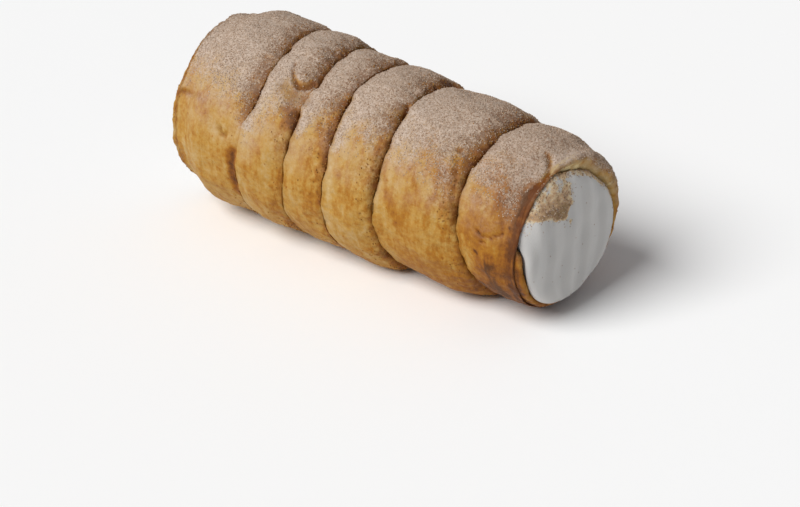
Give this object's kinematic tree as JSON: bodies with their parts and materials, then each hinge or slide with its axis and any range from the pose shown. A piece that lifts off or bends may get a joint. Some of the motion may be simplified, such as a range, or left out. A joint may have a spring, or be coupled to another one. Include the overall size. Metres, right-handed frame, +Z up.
{
  "type": "cream horn pastry",
  "caption": "Flaky pastry strip wound round a tapered tube and filled with piped cream, dusted with cinnamon sugar, lying on its side.",
  "frame": {"origin": "middle of the whole horn's box, on the surface it lies on", "axes": "+Z up, +X along the horn towards its narrow end, -Y the side that the seams are seen from"},
  "size_m": [0.1194, 0.0536, 0.0514],
  "materials": {
    "pastry_crust": "baked puff pastry, golden below and dusted with pale cinnamon sugar above, matt and flaky",
    "whipped_cream": "soft satin whipped cream, off-white, stained with cinnamon sugar near the rim"
  },
  "bodies": {
    "root": {"pastry_shell": "pastry_crust", "cream_filling": "whipped_cream"}
  },
  "joints": []
}
